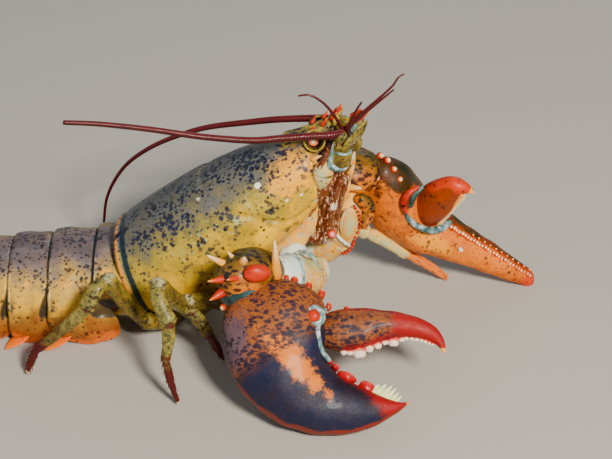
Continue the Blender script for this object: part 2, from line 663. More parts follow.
def build_rostrum():
    """The beak between the eyes, with a keel on each side that carries the spines."""
    keys = ((80.0, -0.2, 6.6, 2.0, 6.0), (85.0, -1.0, 5.9, 1.8, 5.0), (90.0, -1.4, 4.9, 1.6, 4.4),
            (95.0, -1.5, 3.9, 1.4, 3.8), (100.0, -1.2, 2.8, 1.2, 3.0), (103.5, -0.5, 1.7, 0.9, 1.8),
            (105.8, 0.4, 0.6, 0.4, 0.5))
    rings = []
    for along, high, half, rise, drop in spline(keys, 6):
        centre = on_back(along, 0, high)
        ring = oval(centre, SIDE, RAISE, half, rise, drop, 2.0, 36)
        # hollow between the keels
        rings.append([p - RAISE * 0.7 * near((p - centre).dot(SIDE), 0, half * 0.5)
                      if (p - centre).dot(RAISE) > 0 else p for p in ring])
    bm = bmesh.new()
    skin(bm, domed(rings))
    cloud_mark(bm, "high", 0.6, 0.25, 2.5)
    finished("rostrum_shell", bm, "carapace")
    bm = bmesh.new()
    for across in (-1, 1):
        for along, out, reach in ((91.8, 4.3, 2.4), (97.0, 3.3, 2.6), (101.0, 2.2, 2.8)):
            root = on_back(along, out * across, -0.2)
            spine(bm, root, root + BACK * reach + SIDE * across * 0.5 + RAISE * 1.4, 0.8)
    spine(bm, on_back(103.6, 0, 0.0), on_back(106.8, 0, 2.8), 1.0)
    finished("rostrum_spines", bm, "spine")
    bm = bmesh.new()
    for across in (-1, 1):
        root = on_back(89.0, 12.2 * across, -8.0)
        spine(bm, root, root + BACK * 3.4 + SIDE * across * 0.8, 1.0)
    finished("orbit_spines", bm, "ivory")


def build_eyes():
    for side, label in SIDES:
        centre = eye_centre(side)
        look = (SIDE * side + BACK * 0.12 + RAISE * 0.42).normalized()
        bm = bmesh.new()
        knob(bm, centre, (EYE_BALL_RADIUS,) * 3, look, None, 0.0, 48)
        # a lobster's mirror eye throws back an orange shine
        shine = centre + look * EYE_BALL_RADIUS
        mark(bm, "glow", lambda p: smooth(2.3, 1.5, (p - shine).length))
        mark(bm, "core", lambda p: smooth(1.35, 0.5, (p - shine).length))
        finished("eye_ball_" + label, bm, "eye", ["eye_" + label])
        keys = [(*(centre - look * 6.5), 2.2), (*(centre - look * 4.2), 2.5), (*(centre - look * 2.2), 2.6)]
        limb_piece("eye_stalk_" + label, "flagellum", "eye", keys, 4, 24, 1.0, (0, 0, 1), 0.1, 2)
        bm = bmesh.new()
        hoop(bm, centre + look * 0.4, look, EYE_RADIUS + 0.1, 0.4)
        mark(bm, "high", lambda p: 0.62)
        finished("eye_orbit_" + label, bm, "carapace")


# The underside and the head's front

def build_underside():
    rows = ((13.0, 3.8, 9.0, 4.0, 2.8), (20.0, 6.5, 11.0, 5.0, 4.0), (32.0, 11.5, 12.0, 6.0, 4.0),
            (48.0, 19.5, 12.5, 6.0, 4.0), (62.0, 29.0, 12.0, 6.0, 4.0),
            (73.0, 39.0, 10.5, 6.0, 4.0), (80.0, 48.0, 8.5, 6.0, 4.0), (84.0, 56.0, 6.5, 6.0, 3.5))
    rows = spline(rows, 8)
    points = [Vector((x, 0, z)) for x, z, *_ in rows]
    across = Vector((0, 1, 0))
    rings = []
    for i, (x, z, half, rise, drop) in enumerate(rows):
        # a waist between the plates of two legs
        pinch = 1 - 0.07 * near((x - 13) % 14.0, 7.0, 1.6)
        up = heading(points, i).cross(across)
        rings.append(oval(points[i], across, up, half * pinch, rise, drop * pinch, 2.6, 40))
    bm = bmesh.new()
    skin(bm, domed(rings, 0.4))
    finished("thorax_plates", bm, "pale", ["thorax_underside"])


def build_head_front():
    rows = ((88.0, -8.0, -34.0, 11.0, 0.62), (96.0, -7.0, -31.0, 10.0, 0.6),
            (101.0, -8.0, -28.0, 8.4, 0.55), (104.0, -11.0, -24.0, 5.6, 0.5))
    rings = []
    for along, top, low, half, lean in spline(rows, 8):
        middle = (top + low) / 2
        up = RAISE + BACK * lean
        centre = on_back(along, 0, 0) + up * middle
        rings.append(oval(centre, SIDE, up, half, top - middle, middle - low, 2.4, 72))
    bm = bmesh.new()
    skin(bm, domed(rings, 0.3))
    roughen(bm, 1.6, 2.6)
    mark(bm, "pale", lambda p: 0.35 * smooth(74, 80, p.z))
    finished("head_plate", bm, "palp", ["head_front"])

    # the animal leans to its right, so the left side sits lower here
    for side, lean in ((-1, Vector()), (1, Vector((1.4, 0, -5.6)))):
        build_feeler_root(side, lean)


def build_feeler_root(side, lean):
    """The cup, skin and spines that a long feeler grows from."""
    def limb(bm, keys, flat=1.0, sideways=(1, 0, 0), bulge=0.5):
        keys = [(x + lean.x, y * side, z + lean.z, radius) for x, y, z, radius in keys]
        add_limb(bm, keys, 8, 28, flat, sideways, bulge)

    label = "right" if side < 0 else "left"
    bm = bmesh.new()
    limb(bm, ((82.8, 12.6, 79.0, 2.4), (83.0, 13.0, 75.4, 4.0), (82.6, 12.8, 71.4, 3.2),
              (81.8, 12.0, 67.4, 1.0)), 0.7)
    cloud_mark(bm, "pale", 0.3, 0.4, 2.0)
    finished("feeler_leaf_" + label, bm, "pale")
    bm = bmesh.new()
    limb(bm, ((89.4, 10.4, 77.8, 3.2), (89.8, 10.7, 79.4, 4.0), (90.2, 11.0, 82.4, 4.1),
              (90.4, 11.1, 84.0, 3.7)), bulge=0.3)
    limb(bm, ((95.0, 11.0, 85.0, 1.5), (96.1, 12.2, 88.4, 2.0), (95.8, 12.8, 90.4, 1.5)))
    roughen(bm, 0.4, 2.0)
    finished("feeler_cup_" + label, bm, "leg")
    bm = bmesh.new()
    limb(bm, ((84.6, 12.4, 80.2, 0.8), (86.2, 13.4, 78.6, 1.2), (88.6, 13.4, 77.4, 1.4),
              (91.6, 12.4, 77.6, 1.2), (94.4, 9.6, 80.6, 0.8)), 1.0, (0, 1, 0))
    limb(bm, ((93.4, 10.4, 84.6, 1.3), (94.8, 11.2, 86.6, 1.5), (95.2, 11.8, 88.0, 1.1)))
    hoop(bm, Vector((90.4, 11.1 * side, 84.4)) + lean, (0.05, 0.05 * side, 1), 3.2, 0.6)
    spine(bm, Vector((85.6, 13.4 * side, 79.6)) + lean, Vector((86.9, 14.4 * side, 90.0)) + lean, 1.25, 16)
    cloud_mark(bm, "high", 0.5, 0.6, 1.7)
    finished("feeler_joint_skin_" + label, bm, "membrane")
    bm = bmesh.new()
    limb(bm, ((85.2, 12.6, 85.6, 0.7), (83.6, 13.4, 82.0, 1.25), (81.6, 14.2, 78.4, 1.0)), 1.0, (0, 1, 0))
    for k in range(5):
        base = Vector((84.6 + 0.9 * k, (12.4 + 0.3 * k) * side, 86.2 + 0.5 * k)) + lean
        spine(bm, base, base + Vector((0.7, side * 1.3, 1.6)), 0.5)
    mark(bm, "pale", lambda p: 0.1)
    finished("cheek_strip_" + label, bm, "palp")


# The abdomen: front x, rear x, back heights, half width, how low the side plate hangs
SEGMENTS = {
    1: (8.0, -8.0, 35.6, 34.8, 22.2, 14.0),
    2: (-3.6, -26.2, 35.0, 33.2, 24.9, -0.2),
    3: (-22.0, -42.2, 33.2, 31.4, 24.1, -0.2),
    4: (-38.0, -57.2, 31.2, 29.5, 22.9, -0.2),
    5: (-53.0, -70.7, 29.0, 27.0, 21.5, -0.2),
    6: (-66.5, -85.0, 26.4, 19.5, 19.5, 3.0),
}
# where a side plate starts on the arch, and how its middle shifts and widens below
PLATE_START = 0.6
PLATE_SHAPES = {1: (-1.0, 0.7), 2: (4.6, 1.24), 3: (-1.6, 0.9), 4: (-1.8, 0.9), 5: (-2.2, 0.88),
                6: (-3.0, 0.7)}


def segment_point(number, across, along):
    """A point of a segment's arch: across runs -1 to 1 from tip to tip, along 0 to 1 rearwards."""
    front, rear, top_front, top_rear, half, low = SEGMENTS[number]
    top = top_front + (top_rear - top_front) * along
    fold = abs(across)
    # the strip that slides under the plate ahead shows wider low on the side
    rise = smooth(0.1, 0.27 + 0.16 * near(fold, 0.54, 0.12), along)
    step = 2.4 * (1 - rise) - 0.8 * near(along, 0.75, 0.3) + 0.9 * smooth(0.96, 1.0, along)
    if fold > PLATE_START:
        step *= 0.55
    shift, width = PLATE_SHAPES[number]
    half = half * (1 - 0.02 * along) - step
    if number == 6:
        half -= 2.6 * along
    top -= step
    shoulder = low + (top - low) * 0.42
    middle = front + (rear - front) * 0.5
    wide = smooth(PLATE_START - 0.22, PLATE_START + 0.08, fold)
    x = middle + (rear - front) * (along - 0.5) * (1 + (width - 1) * wide) + shift * 0.5 * wide
    if fold < PLATE_START:
        angle = math.pi / 2 * fold / PLATE_START
        y = math.sin(angle) ** 0.92 * half
        z = shoulder + (top - shoulder) * math.cos(angle)
    else:
        drop = (fold - PLATE_START) / (1 - PLATE_START)
        y = half * (1 - 0.06 * drop * drop) + 0.9 * near(drop, 0.5, 0.3) * near(along, 0.5, 0.3)
        z = shoulder + (low + 0.4 - shoulder) * drop
        centre = middle + shift * 0.5 * wide
        narrow = max(1 - drop ** 3.2, 0.04) ** (1 / 2.2)
        x = centre + (x - centre) * narrow + shift * 0.5 * smooth(0, 0.8, drop)
    return Vector((x, math.copysign(y, across), z))


def build_abdomen():
    for number in SEGMENTS:
        columns, rows = 132, 44
        bm = bmesh.new()
        layers = {name: mark_layer(bm, name) for name in ("high", "along", "yolk", "seam", "rim", "facet")}
        made = bmesh.ops.create_grid(bm, x_segments=columns, y_segments=rows, size=1)
        for vert in made["verts"]:
            across, along = vert.co.x, (vert.co.y + 1) / 2
            fold = abs(across)
            vert[layers["high"]] = 1 - fold
            vert[layers["along"]] = along
            vert[layers["yolk"]] = 0.6 * near(fold, 0.33, 0.05) * near(along, 0.65, 0.25)
            low_side = near(fold, 0.54, 0.12)
            strip = smooth(0.28 + 0.14 * low_side, 0.2 + 0.1 * low_side, along)
            vert[layers["seam"]] = 0.8 * strip * smooth(0.66, 0.58, fold)
            if number == 1:
                vert[layers["seam"]] = 0.85 * smooth(0.6, 0.72, fold)
            vert[layers["rim"]] = 0.65 * near(along, 0.955, 0.03) * near(fold, 0.38, 0.24)
            vert[layers["facet"]] = 0.6 * near(along, 0.9, 0.1) * near(fold, 0.5, 0.14)
            vert.co = segment_point(number, across, along)
        bmesh.ops.remove_doubles(bm, verts=bm.verts, dist=0.01)
        bmesh.ops.recalc_face_normals(bm, faces=bm.faces)
        bmesh.ops.solidify(bm, geom=bm.faces[:], thickness=ABDOMEN_SHELL)
        roughen(bm, 0.3, 5.0, number)
        finished("abdomen_plate_%d" % number, bm, "abdomen", ["abdomen_%d" % number])


# the soft floor of the abdomen: where it starts, its rings, its size at the front, and its ribs
BELLY_FRONT = 6.0
BELLY_STEPS = 60
BELLY_STEP = 1.5
BELLY_HALF_WIDTH = 20.0
BELLY_HEIGHT = 13.0
RIB_PITCH = 15.0
RIB_DEPTH = 0.8


def build_belly():
    """The soft floor of the abdomen with its ribs, and the swimmerets folded under it."""
    rings = []
    for k in range(BELLY_STEPS + 1):
        x = BELLY_FRONT - k * BELLY_STEP
        shrink = 1 - 0.22 * k / BELLY_STEPS
        rib = RIB_DEPTH * near((x + 16.0) % RIB_PITCH, RIB_PITCH / 2, 2.0)
        centre = Vector((x, 0, BELLY_HEIGHT - 4.0 * k / BELLY_STEPS))
        rings.append(oval(centre, Vector((0, 1, 0)), Vector((0, 0, 1)), BELLY_HALF_WIDTH * shrink,
                          5.0, 3.0 + rib, 2.8, 40))
    bm = bmesh.new()
    skin(bm, domed(rings, 0.2))
    finished("abdomen_belly", bm, "pale")
    bm = bmesh.new()
    for number in range(2, 6):
        front, rear, _, _, half, _ = SEGMENTS[number]
        for side in (-1, 1):
            root = Vector((front * 0.5 + rear * 0.5 + 2, (half - 9) * side, 10.0))
            tip = Vector((rear - 1.5, (half + 3.0) * side, 0.8))
            for spread, reach in ((0.0, 1.0), (-5.5, 0.86)):
                end = root + (tip - root) * reach + Vector((0, spread * side, 0))
                middle = (root + end) / 2 + Vector((1.5, 0, -1.2))
                keys = [(*root, 1.2), (*middle, 3.2), (*(middle * 0.4 + end * 0.6), 3.6), (*end, 1.0)]
                add_limb(bm, keys, 6, flat=0.16)
    finished("swimmerets", bm, "swimmeret")


def blade_rings(path, halves, thicks, ridge):
    """A thin blade laid along a path, with a raised rib down its middle."""
    rows = spline([(*p, h, t) for p, h, t in zip(path, halves, thicks)], 8)
    points = [Vector(row[:3]) for row in rows]
    rings = []
    for i, row in enumerate(rows):
        ahead = heading(points, i)
        across = Vector((-ahead.y, ahead.x, 0)).normalized()
        up = ahead.cross(across)
        if up.z < 0:
            up = -up
        ring = oval(points[i], across, up, row[3], row[4], row[4], 2.3, 40)
        rings.append([p + up * ridge * near((p - points[i]).dot(across), 0, row[3] * 0.16)
                      if (p - points[i]).dot(up) > 0 else p for p in ring])
    return rings


def tail_blade(name, node, path, halves, thicks, ridge):
    bm = bmesh.new()
    skin(bm, domed(blade_rings(path, halves, thicks, ridge), 0.25))
    finished(name, bm, "tail", [node])


def fringe(bm, path, outward, length, count):
    """Fine setae along an edge, as thin cones."""
    rows = spline(path, 12)
    for k in range(count):
        base = Vector(rows[round(k / (count - 1) * (len(rows) - 1))])
        wander = Vector((noise.noise(base * 3.1), noise.noise(base * 4.7 + Vector((5, 0, 0))), 0)) * 0.35
        tip = base + (Vector(outward) + wander).normalized() * length * (0.8 + 0.3 * noise.noise(base * 2.3))
        tip.z = max(tip.z, LOWEST_TIP)
        spine(bm, base, tip, HAIR_RADIUS, HAIR_SIDES)


# the fan's blades: middle line, half widths, half thicknesses and how far the rib stands out
TELSON = (((-80, 0, 11.5), (-87, 0, 10.2), (-95, 0, 8.2), (-103, 0, 6.6), (-107.5, 0, 5.6), (-109.6, 0, 5.1)),
          (8.6, 11.0, 12.6, 12.2, 9.8, 6.0), (3.2, 3.0, 2.2, 1.6, 1.0, 0.7), -0.5)
SIDE_BLADES = {
    "inner": (((-80, 9.0, 7.4), (-85, 12.5, 5.4), (-92, 16.5, 4.2), (-101, 20.5, 3.2), (-107.5, 23.0, 2.6),
               (-110.0, 23.8, 2.3)),
              (3.0, 4.8, 8.4, 9.4, 7.6, 4.6), (2.2, 1.8, 1.2, 1.0, 0.8, 0.6), 0.7),
    "outer": (((-79, 13.0, 5.0), (-82, 17.0, 3.2), (-88, 24.0, 1.9), (-96, 31.5, 1.3), (-102.3, 36.4, 1.05),
               (-104.6, 37.9, 0.9)),
              (3.0, 4.6, 8.4, 9.6, 7.8, 4.8), (2.0, 1.6, 1.2, 1.0, 0.85, 0.7), 0.6),
}
# the edges that carry setae, with the way the setae point, their length and their number
TELSON_FRINGE = (((-104, -11.2, 6.0), (-109.0, -6.5, 5.0), (-110.4, 0, 4.9), (-109.0, 6.5, 5.0),
                  (-104, 11.2, 6.0)), (-1, 0, -0.25), 2.6, 70)
SIDE_FRINGES = (
    (((-104, 30.0, 2.6), (-110.5, 27.5, 2.2), (-111.4, 23.0, 2.2), (-109.5, 17.0, 3.0)),
     (-1, 0.35, -0.2), 2.2, 50),
    (((-97.5, 42.0, 0.9), (-103.4, 42.2, 0.8), (-107.0, 37.5, 0.8), (-106.0, 31.5, 0.9)),
     (-0.8, 0.6, -0.1), 2.0, 50),
)


def on_side(points, side):
    """Places of the animal's left half, mirrored where side is -1."""
    return [(x, y * side, z) for x, y, z in points]


def build_tail_fan():
    setae = bmesh.new()
    tail_blade("telson_plate", "telson", *TELSON)
    fringe(setae, *TELSON_FRINGE)
    for side, label in SIDES:
        for place, (path, *sizes) in SIDE_BLADES.items():
            name = "%s_%s" % (place, label)
            tail_blade("tail_blade_" + name, "tail_fan_" + name, on_side(path, side), *sizes)
        for path, outward, length, count in SIDE_FRINGES:
            fringe(setae, on_side(path, side), on_side([outward], side)[0], length, count)
    finished("tail_setae", setae, "bristle")


# The claws

class ClawPlane:
    """A claw's own flat frame: u towards the fingertip, v towards the movable finger."""

    def __init__(self, origin, along, lean):
        self.origin = Vector(origin)
        self.along = Vector(along).normalized()
        start = Vector((0, 0, 1)) - self.along * self.along.z
        start.normalize()
        self.up = Matrix.Rotation(math.radians(lean), 3, self.along) @ start
        self.front = self.along.cross(self.up)

    def at(self, u, v, out=0.0):
        return self.origin + self.along * u + self.up * v + self.front * out

    def path(self, keys):
        """Keys of (u, v, out, radius) as the keys of a limb."""
        return [(*self.at(u, v, out), radius) for u, v, out, radius in keys]

    def place(self, point):
        away = point - self.origin
        return Vector((away.dot(self.along), away.dot(self.up), away.dot(self.front)))

    def blade(self, keys, per_span, sides, power):
        """Rings between an outer and an inner edge; each starts at the outer edge."""
        rings = []
        for row in spline(keys, per_span):
            outer, inner = self.at(row[0], row[1]), self.at(row[2], row[3])
            half = (inner - outer) / 2
            up = half.normalized()
            ring = []
            for k in range(sides):
                angle = math.tau * k / sides - math.pi / 2
                c, s = math.cos(angle), math.sin(angle)
                thick = row[4] if c > 0 else row[5]
                ring.append((outer + inner) / 2 + self.front * squarer(c, power) * thick
                            + up * squarer(s, power) * half.length)
            rings.append(ring)
        return rings


CRUSHER = ClawPlane((82.0, -52.0, 32.3), (1, 0, 0), -47.0)
CRUSHER_PALM = (
    (-36.0, 6.5, -30.5, 14.4, 5.0, 5.0),
    (-37.6, -1.5, -23.5, 15.4, 9.5, 8.5),
    (-37.6, -9.5, -14.5, 16.4, 12.5, 11.0),
    (-35.6, -17.0, -6.0, 14.0, 14.6, 12.4),
    (-31.5, -24.8, 0.0, 9.2, 15.0, 13.0),
    (-24.5, -33.0, 2.5, -1.0, 14.5, 12.5),
    (-13.5, -40.0, 1.5, -13.0, 12.5, 11.0),
    (-0.5, -43.5, 6.5, -20.5, 10.0, 9.0),
    (11.5, -42.7, 13.5, -24.5, 7.8, 7.0),
    (22.5, -39.0, 22.5, -28.5, 5.0, 4.6),
    (30.5, -34.0, 29.5, -30.8, 2.6, 2.4),
    (34.5, -31.0, 34.2, -30.4, 0.8, 0.8),
)
CRUSHER_DACTYL = (
    (-3.0, -1.0, 0.0, -9.5, 4.0, 4.0),
    (4.0, 4.2, 6.5, -11.5, 7.5, 7.0),
    (15.0, 5.0, 15.0, -11.0, 8.0, 7.5),
    (25.0, 4.4, 24.0, -7.6, 7.0, 6.5),
    (34.0, 2.8, 32.0, -6.2, 5.5, 5.0),
    (41.8, -0.6, 38.8, -7.0, 4.0, 3.6),
    (46.8, -5.6, 43.6, -8.8, 2.4, 2.2),
    (48.0, -11.5, 46.6, -12.0, 0.8, 0.8),
)
CUTTER = ClawPlane((103.0, 20.0, 48.8), (67.5, -0.5, -48.5), 28.0)
CUTTER_PALM = (
    (-3.0, -9.0, -8.0, 13.0, 6.0, 6.0),
    (4.0, -14.0, -3.0, 17.0, 9.5, 10.0),
    (13.0, -17.5, 6.0, 16.6, 12.5, 12.5),
    (23.0, -17.6, 15.5, 11.5, 13.0, 13.0),
    (34.0, -15.8, 27.0, 3.6, 12.0, 12.0),
    (44.0, -12.8, 38.0, 4.0, 9.5, 9.5),
    (56.0, -9.2, 52.0, 4.4, 7.5, 7.5),
    (68.0, -5.8, 66.0, 4.6, 5.5, 5.5),
    (77.0, -3.6, 76.5, 4.6, 4.3, 4.3),
    (81.6, -2.6, 81.2, 3.4, 3.2, 3.2),
    (83.4, -1.0, 83.2, 1.4, 1.4, 1.4),
)
CUTTER_DACTYL = (
    (19.5, -2.0, 33.5, -1.0, 5.0, 5.0),
    (18.0, 4.6, 32.0, 6.8, 6.5, 6.5),
    (15.6, 12.4, 30.8, 13.8, 6.5, 6.5),
    (15.2, 20.7, 29.4, 20.4, 5.6, 5.6),
    (16.7, 27.0, 28.0, 25.6, 4.6, 4.6),
    (19.2, 31.8, 26.8, 29.2, 3.4, 3.4),
    (23.8, 33.4, 27.6, 30.2, 2.2, 2.2),
    (27.6, 33.0, 28.9, 31.0, 1.3, 1.3),
    (30.2, 31.6, 30.0, 31.2, 0.5, 0.5),
)
# the bright patch down the middle of the crusher: places, sizes and strengths
CRUSHER_PATCH = ((-24.0, -4.5, 2.5, 0.45), (-20.5, -8.5, 3.4, 0.6), (-16.0, -12.0, 4.4, 0.9),
                 (-11.6, -16.0, 5.2, 1.1), (-7.0, -21.0, 4.8, 1.1), (-2.5, -25.7, 4.0, 0.9),
                 (2.5, -29.5, 3.0, 0.6))
# the crusher's teeth, each a place in the claw's plane with its width and height or reach
CRUSHER_FINGER_TEETH = (
    (8.8, -11.4, 1.5, 1.6), (11.2, -11.6, 1.4, 1.5), (14.6, -11.2, 2.8, 3.2), (18.6, -9.4, 1.8, 2.4),
    (21.8, -8.5, 1.6, 2.3), (24.6, -7.6, 1.3, 1.5), (27.7, -7.2, 2.1, 2.5), (31.0, -6.4, 1.3, 1.5),
    (32.6, -6.0, 1.3, 1.4), (34.7, -6.1, 1.1, 1.3), (36.6, -6.4, 1.0, 1.2), (38.3, -6.9, 0.95, 1.1),
    (39.9, -7.4, 0.9, 1.0), (41.4, -8.0, 0.8, 0.9), (42.7, -8.6, 0.7, 0.8),
)
CRUSHER_PALM_TEETH = ((3.0, -15.6, 1.6, 1.3), (5.4, -17.8, 1.7, 1.5), (9.9, -21.6, 3.9, 2.3),
                      (17.4, -25.6, 3.1, 2.6))
CRUSHER_WORN_TEETH = ((19.6, -26.8, 3.4, 1.6), (21.4, -27.4, 4.4, 1.6), (23.4, -28.2, 4.6, 1.5),
                      (25.2, -29.0, 4.4, 1.3), (27.0, -29.8, 3.4, 1.1), (28.8, -30.4, 2.4, 0.9))
# the knobs along the crusher's upper edge: place and size
CRUSHER_KNOBS = ((-16.1, 16.2, 1.2), (-13.2, 16.7, 1.1), (-10.2, 15.6, 1.4), (-4.6, 13.4, 1.5),
                 (0.2, 10.4, 1.5), (3.0, 5.6, 1.2), (9.9, 4.5, 1.1))


def claw_base(plane, keys, name, finish, nodes, sides, marks, seed, power=2.3):
    """The shell of a palm or a finger, rounded at both ends."""
    bm = bmesh.new()
    skin(bm, domed(plane.blade(keys, 12, sides, power), 0.35, 5))
    for label, rule in marks.items():
        mark(bm, label, lambda p, r=rule: r(plane.place(p)))
    roughen(bm, 0.45, 7.0, seed)
    finished(name, bm, finish, nodes)


def in_plane(path, place):
    """Distance in the claw's plane from a place to a bent line."""
    return distance_to(path, Vector((place.x, place.y, 0)))


def build_crusher():
    plane = CRUSHER
    outer_edge = [(row[0], row[1], 0.0) for row in CRUSHER_PALM]
    gape = [(row[2], row[3], 0.0) for row in CRUSHER_PALM[6:]]

    def gum(q):
        """The red flesh that the teeth stand in, along the gape."""
        return 0.8 * near(in_plane(gape, q), 0, 2.0) * smooth(2, 9, q.x)

    palm_marks = {
        # brown above a slanting line across the palm, navy below it
        "inner": lambda q: 0.9 * smooth(-11, 9, 0.85 * (q.y + 24.6) - 0.52 * (q.x + 35.1)) + 0.1,
        "shadow": lambda q: 0.6 * near(in_plane(gape, q), 3, 7) * smooth(-4, 8, q.x),
        "patch": lambda q: max(strength * spot(q.xy, (u, v), width)
                               for u, v, width, strength in CRUSHER_PATCH) * smooth(0, 4, q.z),
        "finger": lambda q: max(smooth(8, 30, q.x + 0.8 * (q.y + 30)) * smooth(-14, -22, q.y), gum(q)),
        "heel": lambda q: 0.85 * smooth(-20, -33, q.x) * near(q.y, -9, 13),
        "rim": lambda q: 0.8 * near(in_plane(outer_edge[4:], q), 0, 0.8),
        "bare": lambda q: max(smooth(16, 28, q.x), gum(q)),
        "tip": lambda q: smooth(31.5, 34.0, q.x),
    }
    claw_base(plane, CRUSHER_PALM, "crusher_palm", "crusher", ["claw_right_palm"], 112,
              palm_marks, 1.0)
    upper = [(row[0], row[1], 0.0) for row in CRUSHER_DACTYL[1:]]
    lower = [(row[2], row[3], 0.0) for row in CRUSHER_DACTYL[1:]]
    dactyl_marks = {
        "inner": lambda q: 0.85,
        "shadow": lambda q: 0.45 * near(q.y, 0, 4) * smooth(30, 12, q.x),
        "bare": lambda q: smooth(20, 34, q.x),
        "finger": lambda q: max(smooth(17, 36, q.x), 0.85 * near(in_plane(upper, q), 0, 1.8),
                                0.85 * near(in_plane(lower, q), 0, 2.0) * smooth(4, 12, q.x)),
        "tip": lambda q: smooth(-9.2, -11.6, q.y) * smooth(40, 44, q.x),
    }
    claw_base(plane, CRUSHER_DACTYL, "crusher_finger", "crusher", ["claw_right_dactyl"],
              80, dactyl_marks, 4.0)

    bm = bmesh.new()
    for u, v, wide, tall in CRUSHER_FINGER_TEETH:
        knob(bm, plane.at(u, v, 0.6), (wide, wide * 0.9, tall), -plane.up, plane.along, 0.25)
    finished("crusher_finger_teeth", bm, "tooth")

    bm = bmesh.new()
    for u, v, wide, tall in CRUSHER_PALM_TEETH:
        knob(bm, plane.at(u, v, 0.4), (wide, 2.6, tall), plane.up * 0.9 + plane.along * 0.4,
             plane.along - plane.up * 0.5, 0.3)
    finished("crusher_palm_teeth", bm, "gum")
    bm = bmesh.new()
    for u, v, reach, wide in CRUSHER_WORN_TEETH:
        spine(bm, plane.at(u, v, 0.4), plane.at(u + reach * 0.8, v + reach * 0.75, 0.2), wide)
    finished("crusher_worn_teeth", bm, "green_tooth")

    bm = bmesh.new()
    for u, v, size in CRUSHER_KNOBS:
        knob(bm, plane.at(u, v, 1.2), (size, size, size * 1.5), plane.up + plane.along * 0.2, plane.along,
             0.2)
    finished("crusher_knobs", bm, "spine")

    bm = bmesh.new()
    hinge = plane.at(-2.6, 0.2, 11.2)
    hoop(bm, hinge, plane.front, 3.0, 1.0)
    hoop(bm, hinge - plane.front * 0.8, plane.front, 3.6, 0.9)
    keys = plane.path(((1.6, 3.6, 6.4, 0.9), (0.4, 0.4, 9.4, 1.2), (-1.0, -4.0, 11.4, 1.1),
                       (-0.8, -8.0, 10.4, 1.2), (0.4, -12.4, 8.0, 1.2), (3.0, -15.6, 4.6, 1.2)))
    add_limb(bm, keys, flat=0.8, sideways=plane.front)
    cloud_mark(bm, "high", 0.55, 0.5, 1.6)
    finished("crusher_hinge_skin", bm, "membrane")
    knob_piece("crusher_hinge_boss", "condyle", "crusher", hinge + plane.front * 0.4, (2.5, 2.5, 1.7),
               plane.front)


# the cutter's teeth: the palm's row along u, and the finger's rows along v
PALM_TEETH = 29
PALM_TEETH_START = 37.4
PALM_TEETH_PITCH = 1.48
FINGER_TEETH = 26


